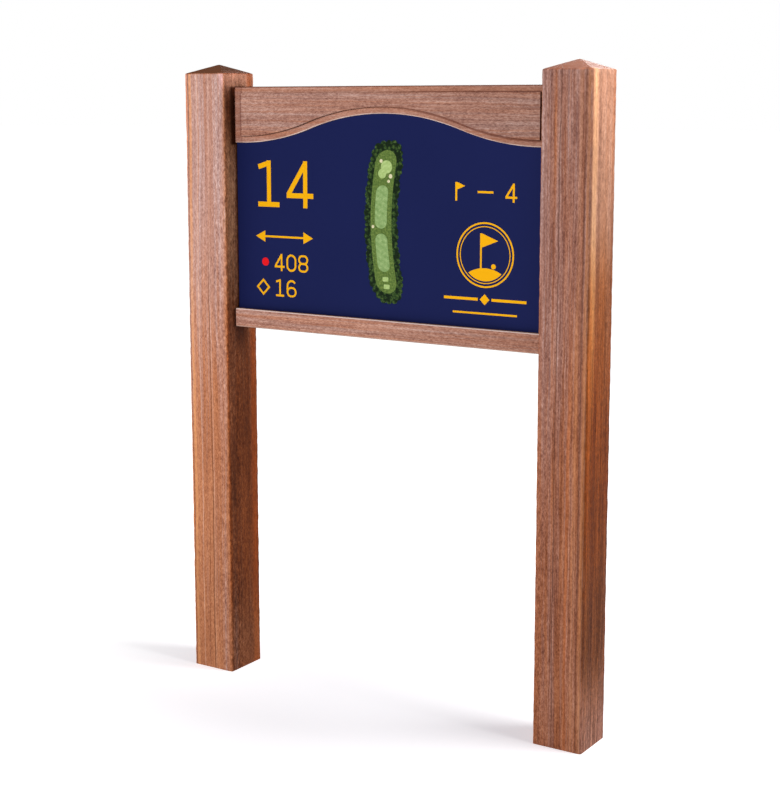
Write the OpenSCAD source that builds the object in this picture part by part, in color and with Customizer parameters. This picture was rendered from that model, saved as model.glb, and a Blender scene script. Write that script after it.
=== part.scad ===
/* [Posts] */
// Side of each square post
post_w = 95; // [80:1:130]
// Length of a post, from its foot to the point of its weathered top
post_len = 1200; // [1050:5:1500]
// Rise of the four-way weathered top
cap_rise = 18; // [6:1:36]
// Radius of a post's long edges
post_round = 5; // [1:0.5:10]
// Clear width between the two posts
post_gap = 675; // [600:5:900]

/* [Rails] */
// Thickness of both rails
rail_t = 38; // [32:1:60]
// Height of the top rail at its ends
top_rail_h = 106; // [92:1:130]
// Drop from the posts' shoulders to the top of the top rail
top_rail_drop = 25; // [5:1:80]
// Rise of the ogee from the rail's ends to its crown
ogee_rise = 56; // [30:1:66]
// Straight run of the lower edge beside each post
ogee_flat = 14; // [8:1:60]
// Width of the sunk border above and below the top rail's raised field
border_w = 12; // [8:1:20]
// Width of the sunk strips at the top rail's ends
border_end = 16; // [8:1:30]
// Depth of the sunk border
border_d = 6; // [2:0.5:8]
// Height of the bottom rail
bottom_rail_h = 36; // [30:1:60]
// Radius of the rails' long edges
rail_round = 3; // [1:0.5:6]

/* [Panel] */
// Height of the sign face between the rails, measured beside a post
panel_h = 320; // [300:1:400]
// Thickness of the printed face sheet
sheet_t = 3; // [2:0.5:6]
// Thickness of the backing board
board_t = 12; // [6:1:18]
// Depth of the panel groove in posts and rails
groove_d = 12; // [8:1:18]
// Room left for the panel to swell inside its groove
panel_play = 2; // [0.5:0.5:4]
// Thickness of the packers that carry the panel
packer_t = 3; // [2:0.5:6]
// Length of a packer
packer_l = 60; // [30:5:120]
// Diameter of the drain holes under the groove
drain_d = 6; // [4:0.5:10]

/* [Joints] */
// Thickness of the rail tenons
tenon_t = 16; // [10:1:24]
// Length of the rail tenons
tenon_len = 45; // [36:1:60]
// Step from a rail's outer edge to its tenon
tenon_step = 6; // [3:1:12]
// Clearance on each face of a tenon and of the panel
fit_clear = 0.3; // [0.1:0.05:0.6]
// Free depth past the end of a tenon
mortise_free = 2; // [0.5:0.5:6]
// Diameter of the joint screws
screw_d = 5; // [4:0.5:8]
// Diameter of a joint screw's head
head_d = 10; // [8:0.5:13]
// Timber left in front of a joint screw's point
screw_cover = 23; // [12:1:28]
// Distance from a post's inner face to the screws
screw_inset = 24; // [12:1:32]
// Spacing of the two screws in a top rail tenon
screw_pitch = 44; // [24:1:56]
// Diameter of the timber plugs over the screws
plug_d = 14; // [10:0.5:18]
// Length of a timber plug
plug_l = 11; // [6:1:14]

/* [Figures and marks] */
// Number in large figures
hole_number = 14; // [1:1:99]
// Number beside the dot
distance = 408; // [100:1:999]
// Number beside the lozenge
index_number = 16; // [10:1:99]
// Number beside the small flag
par_number = 4; // [2:1:9]
// Thickness of the applied film
film_t = 0.3; // [0.1:0.05:0.6]
// Height of the large figures
number_h = 88; // [60:1:96]
// Height of the small figures
figure_h = 33; // [20:1:38]
// Stroke of the large figures
number_stroke = 9.5; // [7:0.5:14]
// Stroke of the small figures
figure_stroke = 3.8; // [3:0.2:6]
// Distance from the left post to the left column
left_margin = 43; // [20:1:80]
// Distance from the right post to the middle of the right column
right_margin = 127; // [100:1:150]
// Rise from one small row to the next
row_pitch = 49; // [44:1:54]
// Overall diameter of the round badge
badge_d = 116; // [70:1:130]
// Height of the hole plan
plan_h = 304; // [240:1:320]
// Greatest width of the hole plan's woods
plan_w = 96; // [60:1:110]

/* [Hidden] */

hardwood = [0.66, 0.45, 0.36];
navy = [0.10, 0.13, 0.31];
gold = [0.98, 0.72, 0.06];
steel = [0.75, 0.76, 0.77];

// Segments of small and of large circles
$fn = 48;
big_fn = 480;
// Overlap that lets one cut run cleanly through a face
cut = 1;
// Overlap where two strokes of a figure meet end to end
seam = 0.01;
// Overlap of the ogee's arcs where they meet
arc_lap = 0.05;

half_gap = post_gap / 2;
post_x = half_gap + post_w / 2;
shoulder_z = post_len - cap_rise;
cap_angle = atan(2 * cap_rise / post_w);
top_rail_top = shoulder_z - top_rail_drop;
top_rail_low = top_rail_top - top_rail_h;
bottom_rail_top = top_rail_low - panel_h;
bottom_rail_low = bottom_rail_top - bottom_rail_h;
panel_t = sheet_t + board_t;
groove_w = panel_t + 2 * fit_clear;
panel_low = bottom_rail_top - groove_d + packer_t;
panel_mid = bottom_rail_top + panel_h / 2;

// Each half of the ogee is two equal arcs that meet half way up
ogee_span = half_gap - ogee_flat;
ogee_r = (pow(ogee_span, 2) + pow(ogee_rise, 2)) / (4 * ogee_rise);
crown_cz = top_rail_low + ogee_rise - ogee_r;
end_cz = top_rail_low + ogee_r;

top_tenon_low = top_rail_low + groove_d;
top_tenon_high = top_rail_top - tenon_step;
bottom_tenon_low = bottom_rail_low + tenon_step;
bottom_tenon_high = bottom_rail_top - groove_d;
top_screw_mid = (top_tenon_low + top_tenon_high) / 2;
top_screw_zs = [top_screw_mid - screw_pitch / 2, top_screw_mid + screw_pitch / 2];
bottom_screw_zs = [(bottom_tenon_low + bottom_tenon_high) / 2];
screw_x = half_gap + screw_inset;
screw_len = post_w - plug_l - screw_cover;
screw_head_y = post_w / 2 - plug_l;
head_t = (head_d - screw_d) / 2;

// How far the marks lie above or below the middle of the sign face
number_rise = 39;
par_rise = 64;
badge_drop = 30;
rule_drop = 109;
short_rule_drop = 134;
lowest_drop = 132;

// Places on the face, from the posts and from the middle of the sign face
left_x = -half_gap + left_margin;
right_x = half_gap - right_margin;
index_z = panel_mid - lowest_drop;
distance_z = index_z + row_pitch;
arrow_z = distance_z + row_pitch + figure_h / 2;
number_z = panel_mid + number_rise;
badge_z = panel_mid - badge_drop;
par_z = panel_mid + par_rise;
rule_z = panel_mid - rule_drop;
short_rule_z = panel_mid - short_rule_drop;
plan_low = panel_mid - lowest_drop;

// Distance from the left column's edge to the dot's middle and to the small figures
dot_in = 22;
figures_in = 44;

// Size of the small marks
dot_d = 16;
arrow_w = 134;
arrow_head = 22;
rule_w = 172;
short_rule_w = 130;
rule_t = 5;
outer_ring_t = 3;
inner_ring_t = 1.6;
ring_space = 4;
badge_pole_t = 3.4;
par_row_w = 126;
lozenge = 23;

// A flat outline drawn in X and Z, given a thickness along Y from y0 towards +Y
module upright(y0, t) {
    translate([0, y0 + t, 0])
        rotate([90, 0, 0])
            linear_extrude(t)
                children();
}

// A square outline of the given size, centred, with its corners rounded
module eased_rect(w, h, r) {
    square([w - 2 * r, h], center = true);
    square([w, h - 2 * r], center = true);
    for (x = [-1, 1], y = [-1, 1]) {
        translate([x * (w / 2 - r), y * (h / 2 - r)])
            circle(r = r);
    }
}

// All that lies below the ogee line moved into the rail by inset, down to floor_z.
// The end arcs are a hair large, so that they cross the crown arc and the straight ends cleanly.
module under_ogee(inset, reach, floor_z) {
    join_x = (ogee_r + inset) * ogee_span / (2 * ogee_r);
    join_z = crown_cz + (ogee_r + inset) * (2 * ogee_r - ogee_rise) / (2 * ogee_r);
    lap = (ogee_span - join_x) / 3;
    intersection() {
        translate([0, crown_cz])
            circle(r = ogee_r + inset, $fn = big_fn);
        translate([-join_x - lap, floor_z])
            square([2 * (join_x + lap), top_rail_top - floor_z]);
    }
    for (side = [0, 1]) {
        mirror([side, 0]) {
            difference() {
                translate([join_x, floor_z])
                    square([ogee_span - join_x, join_z + cut - floor_z]);
                translate([ogee_span, end_cz])
                    circle(r = ogee_r - inset + arc_lap, $fn = big_fn);
            }
            translate([ogee_span - lap, floor_z])
                square([reach - ogee_span + lap, top_rail_low + inset - floor_z]);
        }
    }
}

// Long stock along X with eased edges, between two depths and two heights
module eased_stock(front, back, low, high) {
    translate([-half_gap, (front + back) / 2, (low + high) / 2])
        rotate([90, 0, 90])
            linear_extrude(post_gap)
                eased_rect(back - front, high - low, rail_round);
}

// Tenons at both ends of a rail
module tenons(low, high) {
    for (side = [-1, 1]) {
        translate([side * (half_gap + tenon_len / 2 - cut), 0, (low + high) / 2])
            cube([tenon_len + 2 * cut, tenon_t, high - low], center = true);
    }
}

// Mortise in the right-hand post for a tenon between two heights
module mortise(low, high) {
    translate([half_gap - cut, -tenon_t / 2 - fit_clear, low - fit_clear])
        cube([tenon_len + mortise_free + cut, tenon_t + 2 * fit_clear, high - low + 2 * fit_clear]);
}

// Stepped hole for one screw and its plug, from the back of a post
module screw_hole(z, clear) {
    translate([screw_x, post_w / 2, z])
        rotate([90, 0, 0]) {
            translate([0, 0, plug_l])
                cylinder(d1 = head_d + 2 * clear, d2 = screw_d + 2 * clear, h = head_t);
            cylinder(d = screw_d + 2 * clear, h = plug_l + screw_len + clear);
            translate([0, 0, -cut])
                cylinder(d = plug_d + clear, h = plug_l + cut);
        }
}

module screw_holes(clear) {
    for (z = concat(top_screw_zs, bottom_screw_zs)) {
        screw_hole(z, clear);
    }
}

// One half of the post pair: a square post on the right of the sign
module post() {
    difference() {
        translate([post_x, 0, 0])
            difference() {
                linear_extrude(post_len + cap_rise)
                    eased_rect(post_w, post_w, post_round);
                for (turn = [0:90:270]) {
                    rotate([0, 0, turn])
                        translate([0, -post_w / 2, shoulder_z])
                            rotate([cap_angle, 0, 0])
                                translate([-post_w, -post_w, 0])
                                    cube([2 * post_w, 3 * post_w, post_w]);
                }
            }
        mortise(top_tenon_low, top_tenon_high);
        mortise(bottom_tenon_low, bottom_tenon_high);
        translate([half_gap - cut, -groove_w / 2, bottom_tenon_high])
            cube([groove_d + cut, groove_w, top_tenon_low - bottom_tenon_high]);
        screw_holes(fit_clear);
    }
}

module right_post() {
    color(hardwood) post();
}

module left_post() {
    color(hardwood) mirror([1, 0, 0]) post();
}

// Face of the top rail, seen from the front
module top_rail_outline() {
    difference() {
        translate([-half_gap, top_rail_low])
            square([post_gap, top_rail_h]);
        under_ogee(0, half_gap + cut, top_rail_low - cut);
    }
}

// The raised field inside the sunk border
module raised_field() {
    difference() {
        translate([-half_gap + border_end, top_rail_low])
            square([post_gap - 2 * border_end, top_rail_h - border_w]);
        under_ogee(border_w, half_gap, top_rail_low - cut);
    }
}

module top_rail() {
    border_y = -rail_t / 2 + border_d;
    color(hardwood) {
        difference() {
            union() {
                intersection() {
                    upright(border_y, rail_t - border_d)
                        top_rail_outline();
                    eased_stock(border_y, rail_t / 2, top_rail_low - 2 * rail_round, top_rail_top);
                }
                upright(-rail_t / 2, border_d + cut)
                    raised_field();
            }
            upright(-groove_w / 2, groove_w)
                under_ogee(groove_d, half_gap + cut, top_rail_low - cut);
        }
        difference() {
            tenons(top_tenon_low, top_tenon_high);
            screw_holes(fit_clear);
            mirror([1, 0, 0]) screw_holes(fit_clear);
        }
    }
}

module bottom_rail() {
    color(hardwood) {
        difference() {
            union() {
                eased_stock(-rail_t / 2, rail_t / 2, bottom_rail_low, bottom_rail_top);
                tenons(bottom_tenon_low, bottom_tenon_high);
            }
            translate([-half_gap - cut, -groove_w / 2, bottom_tenon_high])
                cube([post_gap + 2 * cut, groove_w, groove_d + cut]);
            for (x = [-1, 1]) {
                translate([x * half_gap / 3, 0, bottom_rail_low - cut])
                    cylinder(d = drain_d, h = bottom_rail_h);
            }
            screw_holes(fit_clear);
            mirror([1, 0, 0]) screw_holes(fit_clear);
        }
    }
}

// Outline shared by the face sheet and its backing board
module panel_outline() {
    under_ogee(groove_d - panel_play, half_gap + groove_d - panel_play, panel_low);
}

module face_sheet() {
    color(navy)
        upright(-panel_t / 2, sheet_t)
            panel_outline();
}

module backing_board() {
    color([0.20, 0.21, 0.22])
        upright(-panel_t / 2 + sheet_t, board_t)
            panel_outline();
}

module panel_packers() {
    color([0.08, 0.08, 0.08])
        for (x = [-1, 1]) {
            translate([x * half_gap * 2 / 3, 0, bottom_tenon_high + packer_t / 2])
                cube([packer_l, panel_t, packer_t], center = true);
        }
}

// A countersunk wood screw with a cross slot, driven towards the front
module screw(z) {
    slot = screw_d / 5;
    translate([screw_x, screw_head_y, z])
        rotate([90, 0, 0])
            difference() {
                union() {
                    cylinder(d1 = head_d, d2 = screw_d, h = head_t);
                    cylinder(d = screw_d, h = screw_len - screw_d);
                    translate([0, 0, screw_len - screw_d])
                        cylinder(d1 = screw_d, d2 = slot, h = screw_d);
                }
                for (turn = [0, 90]) {
                    rotate([0, 0, turn])
                        cube([head_d * 0.6, slot, head_t], center = true);
                }
            }
}

module plug(z) {
    translate([screw_x, post_w / 2, z])
        rotate([90, 0, 0])
            cylinder(d = plug_d, h = plug_l);
}

module top_rail_screws() {
    color(steel)
        for (z = top_screw_zs, side = [0, 1]) {
            mirror([side, 0, 0]) screw(z);
        }
}

module bottom_rail_screws() {
    color(steel)
        for (z = bottom_screw_zs, side = [0, 1]) {
            mirror([side, 0, 0]) screw(z);
        }
}

module top_rail_plugs() {
    color([0.52, 0.33, 0.26])
        for (z = top_screw_zs, side = [0, 1]) {
            mirror([side, 0, 0]) plug(z);
        }
}

module bottom_rail_plugs() {
    color([0.52, 0.33, 0.26])
        for (z = bottom_screw_zs, side = [0, 1]) {
            mirror([side, 0, 0]) plug(z);
        }
}

// Applied film on the face sheet: level 0 lies on the sheet, level 1 on level 0
module film(level) {
    upright(-panel_t / 2 - (level + 1) * film_t, film_t)
        children();
}

// A straight stroke between two points
module stroke(a, b, s) {
    run = b - a;
    translate(a)
        rotate(atan2(run[1], run[0]))
            translate([0, -s / 2])
                square([norm(run), s]);
}

// A ring, or the part of it from angle a0 to a1, with its middle line at radius r
module ring(c, r, s, a0 = 0, a1 = 360) {
    steps = ceil((a1 - a0) / 45);
    reach = 2 * (r + s);
    translate(c)
        intersection() {
            difference() {
                circle(r = r + s / 2);
                circle(r = r - s / 2);
            }
            if (a1 - a0 < 360) {
                polygon(concat([[0, 0]], [for (i = [0:steps])
                    reach * [cos(a0 + (a1 - a0) * i / steps), sin(a0 + (a1 - a0) * i / steps)]]));
            } else {
                circle(r = reach);
            }
        }
}

function figure_w(h) = 0.7 * h;
function digits_of(n) = n < 10 ? [n] : concat(digits_of(floor(n / 10)), [n % 10]);
function figures_w(n, h) = (len(digits_of(n)) * 1.2 - 0.2) * figure_w(h);

// A closed loop of stroke s and width w, with round sides, its middle line r above and below z
module lobe(z, w, s, r) {
    ring([w - s / 2 - r, z], r, s, -90, 90);
    ring([s / 2 + r, z], r, s, 90, 270);
    for (at = [z - r, z + r]) {
        stroke([s / 2 + r - seam, at], [w - s / 2 - r + seam, at], s);
    }
}

// One figure of height h and stroke s, with its lower left corner at the origin
module figure(n, h, s) {
    w = figure_w(h);
    m = s / 2;
    r = (w - s) / 2;
    small_r = (h - s) / 4;
    bowl_r = (0.6 * h - s) / 2;
    if (n == 0) {
        ring([w / 2, m + r], r, s, 180, 360);
        ring([w / 2, h - m - r], r, s, 0, 180);
        for (x = [m, w - m]) {
            stroke([x, m + r - seam], [x, h - m - r + seam], s);
        }
    }
    if (n == 1) {
        stroke([w * 0.52, 0], [w * 0.52, h], s);
        stroke([w * 0.12, h * 0.86], [w * 0.52, h - m], s);
        stroke([w * 0.1, m], [w * 0.92, m], s);
    }
    if (n == 2) {
        ring([w / 2, h - m - r], r, s, -50, 168);
        stroke([w / 2 + r * cos(50), h - m - r - r * sin(50)], [w * 0.13, m], s);
        stroke([w * 0.04, m], [w * 0.96, m], s);
    }
    if (n == 3) {
        for (z = [m + small_r, h - m - small_r]) {
            ring([w - m - small_r, z], small_r, s, -90, 90);
        }
        stroke([w * 0.4, h / 2], [w - m - small_r + seam, h / 2], s);
        for (at = [m, h - m]) {
            stroke([m + small_r - seam, at], [w - m - small_r + seam, at], s);
        }
        ring([m + small_r, h - m - small_r], small_r, s, 90, 145);
        ring([m + small_r, m + small_r], small_r, s, 215, 270);
    }
    if (n == 4) {
        stroke([w * 0.7, 0], [w * 0.7, h], s);
        stroke([0, h * 0.26], [w, h * 0.26], s);
        stroke([m * 0.8, h * 0.26 + m * 0.4], [w * 0.7, h - m * 0.9], s);
    }
    if (n == 5) {
        stroke([w * 0.12, h - m], [w * 0.9, h - m], s);
        stroke([w * 0.12 + m, h], [w * 0.12 + m, 0.6 * h - s], s);
        stroke([w * 0.12, 0.6 * h - m], [w - m - bowl_r + seam, 0.6 * h - m], s);
        ring([w - m - bowl_r, m + bowl_r], bowl_r, s, -90, 90);
        stroke([m + bowl_r - seam, m], [w - m - bowl_r + seam, m], s);
        ring([m + bowl_r, m + bowl_r], bowl_r, s, 215, 270);
    }
    if (n == 6) {
        lobe(m + bowl_r, w, s, bowl_r);
        stroke([m, m + bowl_r - seam], [m, h - m - r + seam], s);
        ring([w / 2, h - m - r], r, s, 35, 180);
    }
    if (n == 7) {
        stroke([0, h - m], [w, h - m], s);
        stroke([w - m * 1.1, h - m], [w * 0.3, 0], s);
    }
    if (n == 8) {
        lobe(m + small_r, w, s, small_r);
        lobe(h - m - small_r, w, s, small_r);
    }
    if (n == 9) {
        translate([w, h])
            rotate(180)
                figure(6, h, s);
    }
}

// A number in figures, starting at the origin
module figures(n, h, s) {
    digits = digits_of(n);
    for (i = [0:len(digits) - 1]) {
        translate([i * figure_w(h) * 1.2, 0])
            figure(digits[i], h, s);
    }
}

// A flag on its pole, h high
module flag(h, s) {
    pole = s / 2;
    polygon([[-pole, 0], [pole, 0], [pole, h * 0.6], [h * 0.55, h * 0.8], [pole, h], [-pole, h]]);
}

module hole_number_film() {
    color(gold)
        film(0)
            translate([left_x, number_z])
                figures(hole_number, number_h, number_stroke);
}

// Double arrow that says the figures below it are a distance
module distance_arrow_film() {
    neck = arrow_w / 2 - arrow_head;
    barb = arrow_head / 2;
    shaft = figure_stroke / 2;
    upper = [[-arrow_w / 2, 0], [-neck, barb], [-neck, shaft], [neck, shaft], [neck, barb]];
    color(gold)
        film(0)
            translate([left_x + arrow_w / 2, arrow_z])
                polygon(concat(upper, -upper));
}

module tee_dot_film() {
    color([0.93, 0.08, 0.12])
        film(0)
            translate([left_x + dot_in, distance_z + figure_h / 2])
                circle(d = dot_d);
}

module distance_figures_film() {
    color(gold)
        film(0)
            translate([left_x + figures_in, distance_z])
                figures(distance, figure_h, figure_stroke);
}

module index_film() {
    color(gold)
        film(0)
            translate([left_x, index_z]) {
                translate([lozenge * sqrt(0.5), figure_h / 2])
                    rotate(45)
                        difference() {
                            square(lozenge, center = true);
                            square(lozenge - 2 * figure_stroke, center = true);
                        }
                translate([figures_in, 0])
                    figures(index_number, figure_h, figure_stroke);
            }
}

module par_film() {
    color(gold)
        film(0)
            translate([right_x, par_z]) {
                translate([-par_row_w / 2 + figure_stroke, 0])
                    flag(figure_h, figure_stroke);
                translate([-par_row_w / 8, figure_h / 2 - figure_stroke / 2])
                    square([par_row_w / 4, figure_stroke]);
                translate([par_row_w / 2 - figures_w(par_number, figure_h), 0])
                    figures(par_number, figure_h, figure_stroke);
            }
}

// Round badge: two rings, a flag on a low mound and a ball
module badge_film() {
    r = badge_d / 2;
    inner_r = r - outer_ring_t - ring_space;
    mound_r = inner_r - inner_ring_t - ring_space * 3 / 4;
    color(gold)
        film(0)
            translate([right_x, badge_z]) {
                ring([0, 0], r - outer_ring_t / 2, outer_ring_t, $fn = 96);
                ring([0, 0], inner_r - inner_ring_t / 2, inner_ring_t, $fn = 96);
                intersection() {
                    circle(r = mound_r, $fn = 96);
                    translate([0, -r * 1.55])
                        circle(r = r * 1.15, $fn = 96);
                }
                translate([-r * 0.14, -r * 0.42])
                    flag(r * 1.08, badge_pole_t);
                translate([r * 0.3, -r * 0.34])
                    circle(d = r * 0.16);
            }
}

module divider_film() {
    color(gold)
        film(0)
            translate([right_x, 0]) {
                for (side = [-1, 1]) {
                    translate([side * (rule_w + lozenge) / 4, rule_z])
                        square([(rule_w - lozenge) / 2 - rule_t, rule_t], center = true);
                }
                translate([0, rule_z])
                    rotate(45)
                        square(lozenge * 0.6, center = true);
                translate([0, short_rule_z])
                    square([short_rule_w, rule_t * 0.7], center = true);
            }
}

// The hole bends to one side at half of its length: its middle line at share t of the height
function plan_mid(t) = [plan_w * 0.2 * (0.6 - sin(180 * t)), plan_low + plan_h * t];
// Half the width, at share t, of a strip along the hole from share t0 to t1, with half round ends
function strip_half(t, t0, t1, half) =
    let (s = min(half, (t - t0) * plan_h, (t1 - t) * plan_h))
        sqrt(max(0, half * half - pow(half - s, 2)));
// The shares of the strip's points: one at each turn of its round ends, and equal steps between them
function strip_shares(t0, t1, half, turn, steps) =
    let (end = half / plan_h)
        concat(
            [for (a = [0:turn:90 - turn]) t0 + end * (1 - cos(a))],
            [for (i = [0:steps]) t0 + end + (t1 - t0 - 2 * end) * i / steps],
            [for (a = [90 - turn:-turn:0]) t1 - end * (1 - cos(a))]
        );
// The strip's outline, up its left side and down its right side
function strip_line(t0, t1, half, turn, steps) =
    let (ts = strip_shares(t0, t1, half, turn, steps))
        concat(
            [for (t = ts) plan_mid(t) - [strip_half(t, t0, t1, half), 0]],
            [for (i = [len(ts) - 2:-1:1]) plan_mid(ts[i]) + [strip_half(ts[i], t0, t1, half), 0]]
        );

module strip(t0, t1, half) {
    polygon(strip_line(t0, t1, half, 10, 12));
}

// The woods are a strip edged with tree crowns
module plan_woods_film() {
    crown_r = plan_w * 0.068;
    half = plan_w * 0.38 - crown_r;
    low = crown_r * 1.25 / plan_h;
    crowns = strip_line(low, 1 - low, half, 22.5, 21);
    color([0.10, 0.24, 0.08]) {
        film(0)
            strip(low * 0.7, 1 - low * 0.7, half + crown_r * 0.4);
        for (i = [0:len(crowns) - 1]) {
            film(0)
                translate(crowns[i])
                    circle(r = crown_r * (1 + 0.22 * sin(i * 97)));
        }
    }
}

module plan_rough_film() {
    color([0.36, 0.52, 0.16])
        film(1)
            strip(0.07, 0.93, plan_w * 0.235);
}

// The fairway is in two lengths
module plan_fairway_film() {
    color([0.58, 0.72, 0.38])
        for (ends = [[0.2, 0.43], [0.46, 0.72]]) {
            film(2)
                strip(ends[0], ends[1], plan_w * 0.135);
        }
}

// The green near the top and two tees at the bottom
module plan_greens_film() {
    color([0.70, 0.82, 0.45])
        film(2) {
            translate(plan_mid(0.83) + [plan_w * 0.03, 0])
                circle(r = plan_w * 0.125);
            translate(plan_mid(0.79) - [plan_w * 0.045, 0])
                circle(r = plan_w * 0.09);
            for (t = [0.11, 0.155]) {
                translate(plan_mid(t))
                    eased_rect(plan_w * 0.13, plan_h * 0.027, plan_w * 0.02);
            }
        }
}

// Each bunker's share of the height, then its offset and radius as shares of the width
bunkers = [[0.865, -0.11, 0.035], [0.775, 0.15, 0.04], [0.745, 0.12, 0.03], [0.47, -0.18, 0.03]];

module plan_bunkers_film() {
    color([0.90, 0.88, 0.70])
        film(2)
            for (bunker = bunkers) {
                translate(plan_mid(bunker[0]) + [plan_w * bunker[1], 0])
                    circle(r = plan_w * bunker[2], $fn = 24);
            }
}

left_post();
right_post();
top_rail();
bottom_rail();
backing_board();
face_sheet();
panel_packers();
top_rail_screws();
bottom_rail_screws();
top_rail_plugs();
bottom_rail_plugs();
hole_number_film();
distance_arrow_film();
tee_dot_film();
distance_figures_film();
index_film();
par_film();
badge_film();
divider_film();
plan_woods_film();
plan_rough_film();
plan_fairway_film();
plan_greens_film();
plan_bunkers_film();
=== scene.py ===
import math

import bmesh
import bpy
from mathutils import Matrix, Vector, noise


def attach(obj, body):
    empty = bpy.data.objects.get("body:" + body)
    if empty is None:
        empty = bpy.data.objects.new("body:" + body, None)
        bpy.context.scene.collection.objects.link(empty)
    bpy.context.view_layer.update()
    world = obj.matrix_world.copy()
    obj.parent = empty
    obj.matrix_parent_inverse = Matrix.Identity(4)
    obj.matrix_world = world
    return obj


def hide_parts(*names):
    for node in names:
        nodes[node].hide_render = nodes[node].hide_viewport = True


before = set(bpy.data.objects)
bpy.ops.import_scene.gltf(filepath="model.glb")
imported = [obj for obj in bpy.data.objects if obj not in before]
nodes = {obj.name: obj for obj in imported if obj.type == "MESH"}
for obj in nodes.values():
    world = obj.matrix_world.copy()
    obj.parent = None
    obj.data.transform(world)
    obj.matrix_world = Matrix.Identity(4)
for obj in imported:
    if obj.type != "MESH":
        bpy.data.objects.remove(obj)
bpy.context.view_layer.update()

# Sizes in metres, as the CAD has them. First the posts, and half of the gap between them
HALF_GAP = 0.3375
POST_X = 0.385
POST_HALF = 0.0475
OUTER_X = POST_X + POST_HALF
POST_LEN = 1.2
CAP_RISE = 0.018
POST_ROUND = 0.005
SHOULDER = POST_LEN - CAP_RISE

# The rails, the top one with an ogee and a sunk border round its field
RAIL_HALF_T = 0.019
RAIL_TOP = 1.157
RAIL_LOW = 1.051
RAIL_ROUND = 0.003
BORDER_W = 0.012
BORDER_END = 0.016
BORDER_D = 0.006
FIELD_X = HALF_GAP - BORDER_END
FIELD_TOP = RAIL_TOP - BORDER_W
OGEE_RISE = 0.056
OGEE_SPAN = 0.3235
OGEE_R = (OGEE_SPAN ** 2 + OGEE_RISE ** 2) / (4 * OGEE_RISE)
BOTTOM_TOP = 0.731
BOTTOM_LOW = 0.695

# The panel groove and the drain holes under it
GROOVE_W = 0.0156
GROOVE_D = 0.012
DRAIN_D = 0.006
DRAIN_CUT = 0.0268

# The tenons, their mortises, the joint screws and the plugs
TENON_T = 0.016
TENON_LEN = 0.045
TENON_STEP = 0.006
CLEAR = 0.0003
MORTISE_FREE = 0.002
TOP_TENON = (RAIL_LOW + GROOVE_D, RAIL_TOP - TENON_STEP)
BOTTOM_TENON = (BOTTOM_LOW + TENON_STEP, BOTTOM_TOP - GROOVE_D)
SCREW_X = 0.3615
TOP_SCREWS = (1.085, 1.129)
BOTTOM_SCREW = 0.71
SCREW_D = 0.005
SCREW_LEN = 0.061
HEAD_D = 0.010
HEAD_H = 0.0025
PLUG_D = 0.014
PLUG_L = 0.011
# How far a cutter runs past the face that it cuts
OVERCUT = 0.001

# Ways that a face can look, to the right and to the front, and the way of the fibres by the grain's axis
RIGHTWARD = (1, 0, 0)
FORWARD = (0, -1, 0)
FIBRES = {"x": (1, 0, 0), "z": (0, 0, 1)}


def srgb(r, g, b):
    """An 8-bit sRGB colour as linear RGBA."""
    def one(c):
        c = c / 255
        return c / 12.92 if c <= 0.04045 else ((c + 0.055) / 1.055) ** 2.4
    return (one(r), one(g), one(b), 1.0)


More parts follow.
